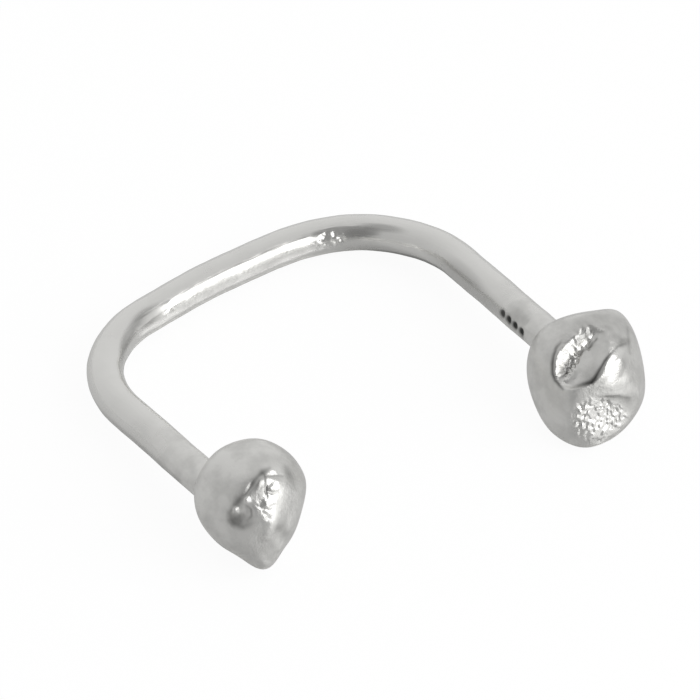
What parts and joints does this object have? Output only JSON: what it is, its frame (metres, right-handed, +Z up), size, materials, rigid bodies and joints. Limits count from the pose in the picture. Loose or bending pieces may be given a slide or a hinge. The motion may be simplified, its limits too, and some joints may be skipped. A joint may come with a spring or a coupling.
{
  "type": "open nugget ring",
  "caption": "Open silver ring of round wire bent into a squarish U, with an irregular melted nugget on the end of each leg.",
  "frame": {"origin": "under the middle of the ring's box, on the surface that it lies on", "axes": "+X along the back of the band, -Y towards the nuggets, +Z up; the finger hollow runs nearly along Z"},
  "size_m": [0.0244, 0.021, 0.0056],
  "materials": {
    "silver": "satin silver, tumbled, with brighter crinkled hollows on the nuggets"
  },
  "bodies": {
    "root": {"ring": "silver"}
  },
  "joints": []
}
